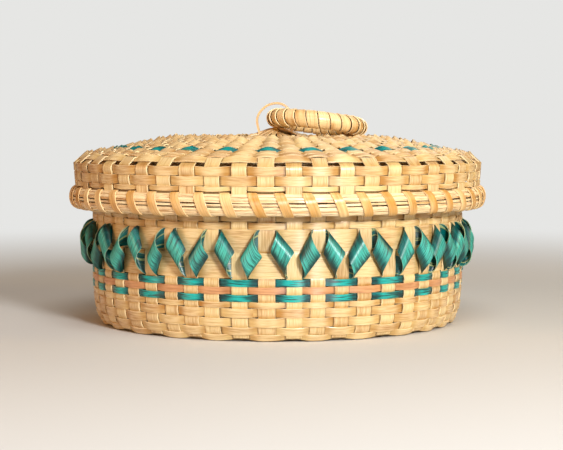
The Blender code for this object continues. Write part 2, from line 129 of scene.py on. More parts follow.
# Where hand weaving has pushed standards of the wall, by number from the front one, in degrees
PUSHED = (
    (-26, 0.0),
    (-14, 0.0),
    (-10, -2.0),
    (-8, -2.8),
    (-6, -2.3),
    (-4, -1.3),
    (-2, -2.0),
    (-1, -0.9),
    (0, -0.1),
    (1, 0.7),
    (2, 0.45),
    (4, 0.6),
    (6, 2.95),
    (8, 1.9),
    (10, -0.9),
    (13, 0.0),
    (25, 0.0),
)
SAG = 0.00045  # how far the middle of a row droops between two front standards
SAGGING_WIDTH = 0.008  # of the widest row that does
LEAF_TILT = math.radians(22.0)  # of the dome's rows where they pass over a standard, like leaves
LEAF_LEANS = (0.4, 1.5)  # shares of that tilt
LEAF_SWELL = 0.20  # how much wider they are there
LEAF_GAP = 0.0007  # between two of them
LEAF_CONTRAST = 1.6  # how much more their tones change than a wall's
TEAL_LEAF_THICKNESS = 0.8  # the dome's teal row is two splints side by side, this share as thick
# share of its crest values that the dome's teal row keeps: less painted sheen and more painted shade
TEAL_LEAF_PAINTED_LIGHT = 0.72

# How far handwork strays
ROW_DEPTHS = (0.85, 1.15)  # shares of a row's rise, from one standard to the next
ROW_STRAY = 0.00010  # of its middle, up and down
ROW_UNEVEN = 0.00018  # of its width
ROW_TONES = (0.30, 0.58)
TONE_STEP = 0.22  # from one standard to the next
STANDARD_WIDTHS = (0.94, 1.06)  # shares of the width on the wall
STANDARD_STRAY = 0.0015  # of its turn
STANDARD_LEAN = 0.0025  # of its turn, from the middle to the end
STANDARD_TONES = (0.14, 0.60)
STANDARD_STREAK = 0.10  # of the tone along it
HOOP_STRAY = 0.00008
WRAP_STRAY = 0.0022  # of a turn's place round the rim
WRAP_LEANS = (0.82, 1.18)
WRAP_WIDTHS = (0.93, 1.06)
WRAP_TONES = (0.46, 0.80)
WRAP_CREST = 0.5  # what lies over a rim gets neither painted sheen nor painted shade
STRAND_STRAY = 0.040  # of a strand's angle on the bundle
STRAND_LIFT = 0.00012
STRAND_UNEVEN = 0.00016
STRAND_TONES = (0.0, 0.5)
STRAND_STREAK = 0.12
CURL_EDGE_STRAY = 0.00045
CURL_STRAY = 0.00035
CURL_DEPTHS = (-0.12, 0.05)  # how much less or more than its share each curl stands out
CURL_STREAK = 0.15
RING_UNEVEN = 0.00012
RING_TONES = (0.0, 0.5)

# The standards' painted sheen and shade, which follow how far each part stands out.
# In the middle they are cut narrower, and the front one is cut wider
# crest where they pile up in the middle, which gives them some painted sheen
MIDDLE_SHEEN_CREST = 0.7
SHADE_TO_SHEEN_DEPTH = 0.0010  # from pushed in, in painted shade, to standing out, with painted sheen
NARROW_SHARE = 0.72  # of the space between two of them
NARROWEST = 0.0028
WIDE_CUT = 1.14
WIDEST = 0.0112

# One curl of the teal splint, as it rises from behind a front standard of the lower wide row to behind the
# next one of the upper. Each station is the strip's lower and upper edge, in millimetres round the wall,
# up, and out from the wall, counted from the middle of the curl.
CURL = (
    ((-4.9, -14.9, 0.0), (-4.9, -2.4, 0.0)),
    ((-4.7, -15.0, 0.9), (-2.2, -3.2, 1.7)),
    ((-4.3, -15.0, 2.4), (2.6, -3.6, 4.5)),
    ((-4.1, -13.6, 5.0), (5.2, -1.4, 7.4)),
    ((-4.9, -10.2, 7.4), (3.2, 2.2, 8.9)),
    ((-6.3, -6.2, 8.1), (1.2, 6.6, 8.1)),
    ((-7.2, -2.8, 6.8), (0.5, 10.3, 5.8)),
    ((-6.6, -0.3, 4.1), (0.9, 13.0, 3.2)),
    ((-3.0, 1.5, 1.8), (1.9, 14.6, 1.3)),
    ((2.8, 2.4, 0.0), (2.8, 14.9, 0.0)),
)
CURL_FULLNESS = 1.04  # how much deeper the free part of a curl is than that
CURL_THICKNESS = 0.0005
CURL_TURN = math.radians(0.85)  # how far the curls sit to the right of the middle between two standards
CURL_CREST = 0.0080  # out from the wall, where a curl gets the most painted highlight
# crest where a curl lies on the wall, which gives it a little painted shade
CURL_LEAST_CREST = 0.3
CURL_CREST_CURVE = 6  # above 1 only what stands out furthest gets the painted highlight
CURL_BACK = 0.00007  # how far behind the wall's middle the splint lies between two curls
CURL_BACK_PARTS = (0.12, 0.5, 0.88)  # of the way to the next curl

# Rims
BODY_HOOPS = {"body_rim_outer_hoop": 0.1254, "body_rim_inner_hoop": 0.1214}  # radius of each
BODY_HOOP = 0.0015  # their thickness
HOOP_LAP = 0.25  # radians by which a hoop's ends overlap
HOOP_LAP_RISE = 0.06  # radians in which the end rises on the start
HOOP_LAP_LIFT = 0.4  # of the thickness, because both ends are thinned
BODY_WRAPS = 26  # turns of the splint that lashes them
BODY_WRAP = (0.0052, 0.0006)  # its width and thickness
BODY_WRAP_LEAN = math.radians(1.5)  # from the top of a turn to its foot
# One turn of it: the share of its way, where 1 is the foot of the outside and 2 the start of the next turn,
# the radius, and the height as a share from the hoops' foot to their top and metres over that
BODY_WRAP_WAY = (
    (0.0, 0.1235, 1, 0.0006),
    (0.05, 0.1258, 1, 0.0005),
    (0.15, 0.1267, 1, -0.0004),
    (0.5, 0.1268, 0.5, 0),
    (0.85, 0.1267, 0, 0.0004),
    (0.95, 0.1258, 0, -0.0005),
    (1.0, 0.1215, 0, -0.0006),
    (1.1, 0.1203, 0, 0),
    (1.5, 0.1201, 0.5, 0),
    (1.85, 0.1203, 1, 0),
    (1.97, 0.1214, 1, 0.0005),
)
LID_HOOP_RADIUS = 0.1322
LID_HOOP = 0.0011  # its thickness
RIM_MIDDLE = (0.1352, 0.0841)  # of the half-round bundle on the lid's wall
RIM_REACH = (0.0034, 0.0061)  # outwards, and up and down
LOOSE_STRANDS = (-28, 34)  # degrees up the bundle at which two more lie on it
LOOSE_LIFT = 0.0004
STRAND = 0.0009  # thickness of a strand
STRANDS_WIDTH = 0.0127  # of all of them side by side
STRAND_LAYER = 0.0002  # by which every second strand lies deeper
SQUEEZE = 0.0002  # of the bundle under a turn of the lashing
SQUEEZE_SHARE = 0.025  # by which it is also narrower there, up and down
LID_WRAP = 0.0007  # thickness of the splint that lashes the bundle
LID_WRAP_LIFT = 0.0010  # of its middle over the bundle
LID_WRAP_LEAN = math.radians(2.3)
# Its way back up the inside, in the same terms, with heights from the lowest to the highest point outside
LID_WRAP_WAY_BACK = (
    (1.12, 0.1325, 0, 0),
    (1.25, 0.1310, 0, 0.0015),
    (1.5, 0.1308, 0.5, 0),
    (1.75, 0.1310, 1, -0.0015),
    (1.9, 0.1325, 1, 0),
)
# Its width at each point of a turn, from the top down the outside and up the inside
LID_WRAP_WIDTHS = [0.0056, 0.0058, 0.0062] + [0.0066] * 7 + [0.0064, 0.0062, 0.0060] + [0.0056] * 5

# Handle
RING_RADIUS = 0.0279
RING_TUBE = 0.0055
RING_SLOPE = math.radians(6.4)  # down from the hinge to the right
RING_TILT = math.radians(4.0)  # the far side of the ring hangs lower
RING_WRAP = 0.0007
RING_WRAPS_WIDTH = 0.160  # of all the turns side by side
RING_WRAPS_SWELL = 0.034  # how much more than that they cover outside, and less inside
RING_WRAP_LEAN = 0.17
RING_CORE = 0.0028  # radius round which the core's splints lie
CORE_SPLINTS = 6
CORE_SPLINT = (0.0034, 0.0022)
LOOP_SPLINT = (0.0045, 0.0015)  # its width and thickness
# The loop that holds the ring, in millimetres to the right of the ring's hinge and up from it
LOOP = (
    (-10.9, -11.0),
    (-11.6, -7.5),
    (-12.5, -3.0),
    (-12.2, 0.8),
    (-9.9, 4.9),
    (-5.6, 8.5),
    (0.0, 10.0),
    (4.9, 9.1),
    (8.9, 5.9),
    (11.3, 1.0),
    (11.6, -4.0),
    (10.6, -11.0),
)

# Each lamp's turn from the front and its rise in degrees, distance, size, power and colour
LAMPS = {
    "key": (21, 20, 1.4, 0.26, 18.3, 0xFFFFFF),
    "left": (-62, 15, 1.6, 0.7, 7.0, 0xFFB66C),
    "right": (74, 20, 1.6, 0.5, 5.0, 0xFFC41E),
    "top": (10, 62, 1.4, 0.7, 6.9, 0xFFFAF2),
    "back": (165, 34, 1.6, 0.9, 3.6, 0xFFF2E0),
}
LIT_POINT = (0, 0, 0.06)
WORLD_LIGHT = 0.15
WORLD_TINT = 0xFFEEDD
FLOOR_RADIUS = 4.0
FLOOR_SHARE = 0.80  # of the backdrop's colour
FLOOR_FADE = (0.26, 1.0)  # distances from the axis between which the floor turns into the backdrop
CAMERA_PLACE = (0.0027, -1.10, 0.1345)
CAMERA_DIP = math.radians(3.684)
CAMERA_LENS = 103.96


def linear(code):
    """A colour given as an sRGB hex value, in linear light."""
    channels = [(code >> shift & 255) / 255 for shift in (16, 8, 0)]
    return [c / 12.92 if c <= 0.04045 else ((c + 0.055) / 1.055) ** 2.4 for c in channels]


def at_turn(radius, turn, height):
    """Points at a radius from the axis, a turn and a height, or directions with the same parts."""
    return np.stack(np.broadcast_arrays(radius * np.sin(turn), -radius * np.cos(turn), height), axis=-1)


def length_property(name, description, default):
    """A length in metres that the panel offers."""
    return FloatProperty(name=name, description=description, default=default, unit="LENGTH", precision=5)


def colour_property(name, description, code):
    """A colour that the panel offers, given as an sRGB hex value."""
    return FloatVectorProperty(name=name, description=description, subtype="COLOR", default=linear(code))


class SplintSizes(bpy.types.PropertyGroup):
    """Sizes of the splints."""

    thickness: length_property("Thickness", "Thickness of a standard or a row", 0.00075)
    standard_width: length_property("Standard width", "Width of a standard on the wall", 0.0095)
    rise: length_property(
        "Rise of the weave", "How far a row stands out from the middle of the weave over a standard", 0.00075
    )
    curl_depth: length_property("Curl depth", "How far a curl stands out from the wall", 0.0089)
    rim_strands: IntProperty(
        name="Rim strands",
        description="Fine splints in the bundle round the lid's rim",
        default=9,
        min=4,
    )
    ring_turns: IntProperty(
        name="Ring turns",
        description="Turns of the splint wound round the ring",
        default=26,
        min=8,
    )


class SplintColours(bpy.types.PropertyGroup):
    """Colours of the splints and the stage."""

    pale: colour_property("Pale ash", "Scraped ash at its palest", 0xDCBE80)
    tan: colour_property("Tan ash", "Ash that has darkened with age", 0xAC752A)
    grain: colour_property("Grain", "The dark lines of the grain", 0x96602C)
    cut: colour_property("Cut edge", "Edges of natural splints", 0xFFE9BE)
    teal: colour_property("Teal dye", "Dyed rows and curls", 0x007072)
    brown: colour_property("Brown dye", "The brown row", 0x905228)
    floor: colour_property("Floor", "The floor and what is behind it", 0xE6E6E4)


class Path:
    """The middle of the weave as (radius, height), read by its length from the axis, with round corners.
    side is 1 where the outside is on the right as it runs on, and -1 where it is on the left."""

    def __init__(self, corners, bends, side):
        points = [np.array(corners[0], float)]
        for before, corner, after, bend in zip(corners, corners[1:], corners[2:], bends):
            corner = np.array(corner, float)
            back = np.array(before, float) - corner
            ahead = np.array(after, float) - corner
            back /= np.linalg.norm(back)
            ahead /= np.linalg.norm(ahead)
            opening = math.acos(float(np.clip(back @ ahead, -1, 1)))
            reach = bend / math.tan(opening / 2)
            middle = corner + (back + ahead) / np.linalg.norm(back + ahead) * bend / math.sin(opening / 2)
            start = corner + back * reach - middle
            end = corner + ahead * reach - middle
            for share in np.linspace(0, 1, 17):
                spoke = start * (1 - share) + end * share
                points.append(middle + spoke / np.linalg.norm(spoke) * bend)
        points.append(np.array(corners[-1], float))
        corners = np.array(points)
        steps = np.linalg.norm(np.diff(corners, axis=0), axis=1)
        ends = np.concatenate([[0], np.cumsum(steps)])
        self.lengths = np.linspace(0, ends[-1], 1200)
        self.points = np.stack([np.interp(self.lengths, ends, corners[:, i]) for i in (0, 1)], axis=1)
        self.along = np.gradient(self.points, axis=0)
        self.along /= np.linalg.norm(self.along, axis=1)[:, None]
        self.side = side
        self.turn_of = turn_of if side > 0 else even_turn_of
        self.end = ends[-1]

    def length_at(self, axis, value):
        """The length at which the radius (axis 0) or the height (axis 1) first reaches a value."""
        beyond = self.points[:, axis] - value
        crossing = np.nonzero(beyond[:-1] * beyond[1:] <= 0)[0]
        crossing = crossing[-1] if axis else crossing[0]
        share = beyond[crossing] / (beyond[crossing] - beyond[crossing + 1])
        return self.lengths[crossing] + share * (self.lengths[crossing + 1] - self.lengths[crossing])

    def span(self, node):
        """The lengths at the lowest and the highest point of a solid."""
        return [self.length_at(1, height) for height in height_span(node)]

    def place(self, lengths, turns, depths):
        """Points on the path, depths outside it, with their directions along the path and round the axis."""
        lengths, turns, depths = np.broadcast_arrays(lengths, turns, depths)
        radius, height, out, up = (
            np.interp(lengths, self.lengths, column)
            for column in (self.points[:, 0], self.points[:, 1], self.along[:, 0], self.along[:, 1])
        )
        size = np.hypot(out, up)
        out, up = out / size, up / size
        points = at_turn(radius + self.side * up * depths, turns, height - self.side * out * depths)
        return points, at_turn(out, turns, up), at_turn(1, turns + math.pi / 2, 0)


class Strips:
    """Gathers strips of splint into one mesh. Each corner has a place on its splint in metres, each point
    its splint's tone and how near a crest of the weave it is, and each face says if it is a cut edge or
    the back."""

    def __init__(self, seed):
        self.chance = np.random.default_rng(seed)
        self.points = []
        self.faces = []
        self.places = []
        self.tones = []
        self.crests = []
        self.cuts = []
        self.backs = []
        self.count = 0

    def add(self, middles, across, width, thickness, tones=None, crests=1.0, closed=False):
        """A strip through middles. across are unit lines over it, and its face looks the way of the cross
        product of its run and across."""
        middles = np.asarray(middles, float)
        across = np.asarray(across, float)
        count = len(middles)
        width = np.broadcast_to(width, count)
        rise = np.broadcast_to(thickness, count) / 2
        ahead = np.roll(middles, -1, axis=0)
        behind = np.roll(middles, 1, axis=0)
        if not closed:
            ahead[-1] = middles[-1]
            behind[0] = middles[0]
        along = ahead - behind
        along /= np.linalg.norm(along, axis=1)[:, None]
        out = np.cross(along, across)
        out /= np.linalg.norm(out, axis=1)[:, None]
        worn = np.minimum(np.minimum(EDGE_ROUND, width * EDGE_SHARE), rise)
        low = rise - worn * EDGE_DROP
        half = width / 2
        sideways = np.stack([-half, -half, worn - half, half - worn, half, half], axis=1)
        upward = np.stack([-rise, low, rise, rise, low, -rise], axis=1)
        points = middles[:, None] + sideways[..., None] * across[:, None] + upward[..., None] * out[:, None]
        first = self.count
        self.points.append(points.reshape(-1, 3))
        self.count += count * 6

        stations = np.arange(count if closed else count - 1)
        following = (stations + 1) % count
        steps = np.linalg.norm(np.diff(np.concatenate([middles, middles[:1]]), axis=0), axis=1)
        run = np.concatenate([[0], np.cumsum(steps)])[: count + 1] + self.chance.uniform(0, PATTERN)
        edges = np.concatenate([points, points[:, :1]], axis=1)
        girth = np.cumsum(np.linalg.norm(np.diff(edges, axis=1), axis=2), axis=1)
        girth = np.concatenate([np.zeros((count, 1)), girth], axis=1) + self.chance.uniform(0, PATTERN)
        for side in range(6):
            over = (side + 1) % 6
            corners = [stations * 6 + side, following * 6 + side, following * 6 + over, stations * 6 + over]
            self.faces.append(first + np.stack(corners, axis=1))
            places = [
                (run[stations], girth[stations, side]),
                (run[stations + 1], girth[following, side]),
                (run[stations + 1], girth[following, side + 1]),
                (run[stations], girth[stations, side + 1]),
            ]
            self.places.append(np.stack([np.stack(place, axis=1) for place in places], axis=1))
            self.cuts.append(np.full(len(stations), float(side in (0, 1, 3, 4))))
            self.backs.append(np.full(len(stations), float(side == 5)))
        if not closed:
            for station, order in ((0, (0, 1, 2, 3, 4, 5)), (count - 1, (5, 4, 3, 2, 1, 0))):
                for three in ((0, 1, 2, 3), (0, 3, 4, 5)):
                    corners = np.array([order[i] for i in three])
                    self.faces.append(first + station * 6 + corners[None])
                    flat = np.stack([upward[station, corners], sideways[station, corners]], axis=1)
                    self.places.append(girth[station, 0] + flat[None])
                    self.cuts.append(np.ones(1))
                    self.backs.append(np.zeros(1))
        tones = self.chance.uniform(0.25, 0.75) if tones is None else tones
        self.tones.append(np.repeat(np.broadcast_to(tones, count), 6))
        self.crests.append(np.repeat(np.broadcast_to(crests, count), 6))

    def make(self, name, finish, body, replaced):
        """Makes the object, which rides on a body and stands for the solids replaced."""
        mesh = bpy.data.meshes.new(name)
        points = np.concatenate(self.points)
        faces = np.concatenate(self.faces)
        mesh.vertices.add(len(points))
        mesh.vertices.foreach_set("co", points.ravel())
        mesh.loops.add(faces.size)
        mesh.loops.foreach_set("vertex_index", faces.ravel())
        mesh.polygons.add(len(faces))
        mesh.polygons.foreach_set("loop_start", np.arange(0, faces.size, 4))
        mesh.update(calc_edges=True)
        places = mesh.uv_layers.new(name="splint")
        places.uv.foreach_set("vector", np.concatenate(self.places).ravel())
        for layer, values, domain in (
            ("tone", self.tones, "POINT"),
            ("crest", self.crests, "POINT"),
            ("cut", self.cuts, "FACE"),
            ("back", self.backs, "FACE"),
        ):
            mesh.attributes.new(layer, "FLOAT", domain).data.foreach_set("value", np.concatenate(values))
        mesh.validate()
        mesh.polygons.foreach_set("use_smooth", np.ones(len(mesh.polygons), bool))
        mesh.set_sharp_from_angle(angle=math.radians(30))
        mesh.materials.append(bpy.data.materials[finish])
        piece = bpy.data.objects.new(name, mesh)
        bpy.context.scene.collection.objects.link(piece)
        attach(piece, body)
        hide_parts(*replaced)


class Row:
    """One row of the weave between two lengths of a path. The standards of its parity show in front."""

    def __init__(self, node, start, end, parity, rise, bend, sink=None, finish="scraped_ash_splint"):
        self.node = node
        self.start = start
        self.end = end
        self.parity = parity
        self.rise = rise  # of the row over a back standard
        self.sink = rise if sink is None else sink  # of the row behind a front standard
        self.bend = bend  # of the standards to either side
        self.finish = finish


def turn_of(numbers):
    """The turns of standards of the body, whole numbers from the front one or shares between them."""
    numbers = np.asarray(numbers, float)
    wrapped = (numbers + STANDARDS / 2) % STANDARDS - STANDARDS / 2
    shifts = np.interp(wrapped, [number for number, shift in PUSHED], [shift for number, shift in PUSHED])
    return FRONT_TURN + numbers * PITCH + np.radians(shifts)


def even_turn_of(numbers):
    """The turns of standards of the lid."""
    return FRONT_TURN + np.asarray(numbers, float) * PITCH


def wave(chance, turns, size, harmonics=5):
    """A smooth random line round the axis, that meets itself."""
    total = np.zeros_like(turns)
    for i in range(1, harmonics + 1):
        total += np.cos(turns * i * 2 + chance.uniform(0, 2 * math.pi)) * chance.uniform(0.4, 1)
    return total * size / harmonics**0.5


def height_span(node):
    """Lowest and highest point of a solid."""
    low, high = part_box(node)
    return low[2], high[2]


def add_row(strips, path, row, thickness, end_turn=None, gap=ROW_GAP, leaf=False, painted_light_scale=1.0):
    """Weaves one row, from behind a front standard all the way round to behind the one after it. Where a row
    of leaves passes over a standard, it leans with its lower edge in and is wider. painted_light_scale
    scales its crest values, which set the painted sheen on its crests and the painted shade where it goes
    under."""
    chance = strips.chance
    start = row.parity + 2 * chance.integers(6, 24)
    length = STANDARDS + LAPPED
    if end_turn is not None:
        start = row.parity - LAPPED
        length = (end_turn - FRONT_TURN) / PITCH - start + STANDARDS
    stations = HIDDEN_STATIONS if row.node in HIDDEN_ROWS else STATIONS
    steps = np.linspace(start, start + length, int(length * stations) + 1)

    def stray(low, high):
        """A random value at each standard that the row passes, and evenly changing ones between them."""
        passed = STANDARDS + LAPPED + 1
        return np.interp(steps - start, np.arange(passed), chance.uniform(low, high, passed))

    turns = path.turn_of(steps)
    swing = -np.cos(math.pi * (steps - row.parity))
    # crest sets the painted sheen in the middle of each pass over a standard and the painted shade where the
    # row dives under
    crest = (swing + 1) / 2
    flat = swing if leaf else np.sign(swing) * np.abs(swing) ** ROW_FLATNESS
    strength = stray(*ROW_DEPTHS)
    level = (row.rise - row.sink) / 2
    size = (row.rise + row.sink) / 2
    lap = -LAP if row.node == "base_weave" else LAP
    overlap = np.clip((steps - start - STANDARDS) / LAP_RISE + 0.4, 0, 1)
    depths = level + size * flat * strength + overlap * thickness * lap
    tones = stray(-TONE_STEP, TONE_STEP) * (LEAF_CONTRAST if leaf else 1)
    tones = tones + chance.uniform(*ROW_TONES)
    middle = (row.start + row.end) / 2 + wave(chance, turns, ROW_STRAY)
    if row.end - row.start < SAGGING_WIDTH and row.node != "foot_row":
        middle = middle - path.side * SAG * crest * strength
    points, along, around = path.place(middle, turns, depths)
    tilt, swell = (LEAF_TILT, LEAF_SWELL) if leaf else (0, 0)
    width = (row.end - row.start - gap + wave(chance, turns, ROW_UNEVEN)) * (1 + swell * crest)
    lean = (tilt * crest * stray(*LEAF_LEANS))[:, None]
    across = along * np.cos(lean) + np.cross(around, along) * np.sin(lean)
    strips.add(points, across * path.side, width, thickness, tones, crest * painted_light_scale)


def standard_line(path, rows, parity, middle_length):
    """Lengths and depths of a standard from the edge of the middle to the end of the path."""
    lengths, depths = [middle_length], [0.0]
    last = 0.0
    for row in rows:
        depth = row.bend if row.parity == parity else -row.bend
        ease = min(BEND_EASE, BEND_SHARE * (row.end - row.start))
        for length, value in (
            (row.start, (last + depth) / 2),
            (row.start + ease, depth),
            (row.end - ease, depth),
        ):
            if length - lengths[-1] > LEAST_STEP:
                lengths.append(length)
                depths.append(value)
        last = depth
    lengths.append(path.end)
    depths.append(last * 0.5)
    return np.array(lengths), np.array(depths)


def add_star(strips, path, rows, sizes, middle_length, levels, wide=None):
    """The standards, each a strip from wall to wall through the middle, where they pile up on each other.
    wide is the number of the one that is cut wider."""
    chance = strips.chance
    half_count = STANDARDS // 2
    # every second one first, and each nearly across the one before it
    order = sorted(range(half_count), key=lambda i: (i % 2, (i * 11) % half_count))
    inner = np.linspace(0, middle_length, 12)[:-1]
    for place, number in enumerate(order):
        lengths, depths = standard_line(path, rows, number % 2, middle_length)
        lift = levels * place / (half_count - 1)
        pile = lift * (0.5 + 0.5 * np.cos(np.pi * inner / middle_length)) ** PILE_CURVE * -path.side
        # how far each part stands out sets its painted shade and its painted sheen
        worn = np.clip(0.5 + depths / SHADE_TO_SHEEN_DEPTH, 0, 1)
        crest = np.concatenate([np.full(len(inner), MIDDLE_SHEEN_CREST), worn])
        lengths = np.concatenate([inner, lengths])
        depths = np.concatenate([pile, depths])
        radius = np.interp(lengths, path.lengths, path.points[:, 0])
        width = sizes.standard_width * chance.uniform(*STANDARD_WIDTHS)
        widths = np.clip(NARROW_SHARE * radius * PITCH, NARROWEST, width)
        halves = []
        for end in (number, number + half_count):
            turn = path.turn_of(end) + chance.uniform(-1, 1) * STANDARD_STRAY
            lean = chance.uniform(-1, 1) * STANDARD_LEAN * lengths / path.end
            points, _, around = path.place(lengths, turn + lean, depths)
            cut = np.clip(widths * WIDE_CUT, 0, WIDEST) if end == wide else widths
            halves.append((points, around, cut))
        (left, left_around, left_widths), (right, right_around, right_widths) = halves
        points = np.concatenate([left[:0:-1], right])
        across = np.concatenate([left_around[:0:-1], -right_around]) * path.side
        widths = np.concatenate([left_widths[:0:-1], right_widths])
        crests = np.concatenate([crest[:0:-1], crest])
        tone = chance.uniform(*STANDARD_TONES)
        tones = tone + wave(chance, np.linspace(0, 6, len(points)), STANDARD_STREAK)
        strips.add(points, across, widths, sizes.thickness, tones, crests)


def add(tree, kind, settings=None, inputs=None):
    """Adds a node with its settings, and gives each input named a value or a link."""
    node = tree.nodes.new(kind)
    for name, value in (settings or {}).items():
        setattr(node, name, value)
    for name, value in (inputs or {}).items():
        if isinstance(value, bpy.types.NodeSocket):
            tree.links.new(value, node.inputs[name])
        else:
            node.inputs[name].default_value = value
    return node


def splint_finish(
    name, colours, roughness, ringed, lined, edged=0.35, painted_shade=0.75, worn=None, painted_sheen_share=0.0, face=None
):
    """A finish for splint: long grain that runs with the strip, slow changes of tone, and paler cut edges.
    colours are its palest, its deepest, its grain's and its cut edge's. ringed says how strong its growth
    rings and stains are, lined its fibres and edged its cut edges, and painted_shade how dark the painted
    shade is where the strip goes under. worn is the colour of the painted sheen on the crests of the weave
    and painted_sheen_share how far it covers them, and face the colour of streaks on the strip's own face."""
    pale, deep, grain, cut = colours
    material = bpy.data.materials.new(name)
    material.use_nodes = True
    tree = material.node_tree
    shader = tree.nodes["Principled BSDF"]
    place = add(tree, "ShaderNodeUVMap", {"uv_map": "splint"}).outputs["UV"]
    tone, crest, edge, back = (
        add(tree, "ShaderNodeAttribute", {"attribute_name": layer}).outputs["Fac"]
        for layer in ("tone", "crest", "cut", "back")
    )

    # Sizes along and across the splint: growth rings 2 mm wide, fibres that are really 0.2 mm wide, drawn at
    # 0.8 mm so that they show, and stains about 15 mm long
    noises = []
    for along, across, detail in ((0.080, 0.0021, 2.0), (0.014, 0.0008, 3.0), (0.016, 0.0075, 1.0)):
        scale = {0: place, 1: (1 / along, 1 / across, 1.0)}
        scaled = add(tree, "ShaderNodeVectorMath", {"operation": "MULTIPLY"}, scale).outputs[0]
        inputs = {"Vector": scaled, "Scale": 1.0, "Detail": detail, "Roughness": 0.55}
        noises.append(add(tree, "ShaderNodeTexNoise", {"noise_dimensions": "2D"}, inputs).outputs["Fac"])
    rings, fibres, stains = noises

    shade = tone
    for noise in (rings, stains):
        centred = {0: noise, 1: ringed, 2: -ringed / 2}
        part = add(tree, "ShaderNodeMath", {"operation": "MULTIPLY_ADD"}, centred).outputs[0]
        shade = add(tree, "ShaderNodeMath", {"operation": "ADD"}, {0: shade, 1: part}).outputs[0]

    # Each layer is what it goes by, where that makes it start and where it is full, its share and its colour
    smooth = {"interpolation_type": "SMOOTHSTEP"}
    layers = [(shade, 0.05, 0.95, 1.0, deep)]
    # worn is the colour of the painted sheen on the crests of the weave
    if worn:
        # the painted sheen spares the dark fibres
        least, most = 0.30 * painted_sheen_share, 0.95 * painted_sheen_share
        spared = {"Value": fibres, "From Min": 0.66, "From Max": 0.38, "To Min": least, "To Max": most}
        painted_sheen = add(tree, "ShaderNodeMapRange", smooth, spared).outputs[0]
        layers.append((crest, 0.44, 0.95, painted_sheen, worn))
    layers.append((fibres, 0.48, 0.72, lined, grain))
    if face:
        streaked = {0: back, 1: -0.7, 2: 0.7}
        front = add(tree, "ShaderNodeMath", {"operation": "MULTIPLY_ADD"}, streaked).outputs[0]
        layers.append((rings, 0.60, 0.66, front, face))
    # painted shade where the strip dives under the next splint
    layers.append((crest, 0.34, 0.18, painted_shade, [c * 0.22 for c in deep]))
    layers.append((edge, 0.0, 1.0, edged, cut))
    colour = (*pale, 1)
    for value, low, high, share, over in layers:
        spread = {"Value": value, "From Min": low, "From Max": high}
        reach = add(tree, "ShaderNodeMapRange", smooth, spread).outputs[0]
        share = add(tree, "ShaderNodeMath", {"operation": "MULTIPLY"}, {0: reach, 1: share}).outputs[0]
        mix = add(tree, "ShaderNodeMix", {"data_type": "RGBA"}, {0: share, 6: colour, 7: (*over, 1)})
        colour = mix.outputs[2]
    tree.links.new(colour, shader.inputs["Base Color"])

    least, most = roughness - 0.10, roughness + 0.12
    spread = {"Value": fibres, "From Min": 0.2, "From Max": 0.8, "To Min": least, "To Max": most}
    tree.links.new(add(tree, "ShaderNodeMapRange", smooth, spread).outputs[0], shader.inputs["Roughness"])
    # Wood has an IOR of 1.5. Its fibres run along the splint and spread what they reflect across it.
    shader.inputs["IOR"].default_value = 1.5
    shader.inputs["Specular IOR Level"].default_value = 0.65
    shader.inputs["Anisotropic"].default_value = 0.8
    shader.inputs["Anisotropic Rotation"].default_value = 0.25
    tangent = add(tree, "ShaderNodeTangent", {"direction_type": "UV_MAP", "uv_map": "splint"})
    tree.links.new(tangent.outputs[0], shader.inputs["Tangent"])
    height = add(tree, "ShaderNodeMath", {"operation": "ADD"}, {0: fibres, 1: rings}).outputs[0]
    bump = add(tree, "ShaderNodeBump", {}, {"Height": height, "Strength": 0.5, "Distance": 0.00012})
    tree.links.new(bump.outputs[0], shader.inputs["Normal"])


def make_finishes(colours):
    """Makes the finishes of the basket, once."""
    if "scraped_ash_splint" in bpy.data.materials:
        return
    pale, tan, grain, cut, teal = (
        list(getattr(colours, name)) for name in ("pale", "tan", "grain", "cut", "teal")
    )
    deep_teal = [c * 0.22 for c in teal]
    # Black ash pounded off the log and scraped smooth: satin, with long grain, tones from cream to tan
    # and painted sheen on the crests of the weave
    scraped = (pale, tan, grain, cut)
    painted_sheen = linear(0xFAE6BA)
    splint_finish(
        "scraped_ash_splint", scraped, roughness=0.34, ringed=0.6, lined=0.2, worn=painted_sheen, painted_sheen_share=0.48
    )
    # The finest splints, split from the middle of a growth ring: paler, with lines of darker fibre
    split = (linear(0xF6DFB2), linear(0xCC9650), linear(0x8E5018), cut)
    splint_finish("fine_split_ash", split, roughness=0.36, ringed=0.9, lined=0.75, edged=0.5)
    # Strips for lashing, thinned and pulled tight: golden, with a satin that catches the light at the bends
    thinned = (linear(0xFCDEA4), linear(0xCA9446), grain, cut)
    splint_finish("lashing_ash", thinned, roughness=0.36, ringed=0.7, lined=0.42)
    # The same splint dyed in the pot: the dye takes deep in the grain, and its crests are painted paler as
    # sheen
    dyed = (teal, deep_teal, deep_teal, linear(0x6FB5A0))
    painted_sheen = linear(0x20DCD2)
    splint_finish(
        "teal_dyed_ash", dyed, roughness=0.32, ringed=1.6, lined=0.9, painted_shade=0.85, worn=painted_sheen, painted_sheen_share=0.6
    )
    # Dyed brown, with painted sheen on its crests
    dyed = (linear(0xC99060), list(colours.brown), linear(0x7A4828), linear(0xEBBB94))
    painted_sheen = linear(0xE6B486)
    splint_finish("brown_dyed_ash", dyed, roughness=0.40, ringed=1.1, lined=0.25, worn=painted_sheen, painted_sheen_share=0.4)
    # The curled splint is dyed on both sides, and its pith side shows streaks of bare wood
    dyed = (linear(0x006C68), deep_teal, [c * 0.14 for c in teal], linear(0xC9D4A8))
    splint_finish(
        "teal_curled_ash",
        dyed,
        roughness=0.36,
        ringed=1.6,
        lined=0.6,
        edged=0.5,
        painted_shade=0.8,
        # paler where each curl stands out furthest: a painted highlight along it
        worn=linear(0x5AE2CE),
        painted_sheen_share=0.62,
        face=linear(0xB5BE7A),
    )


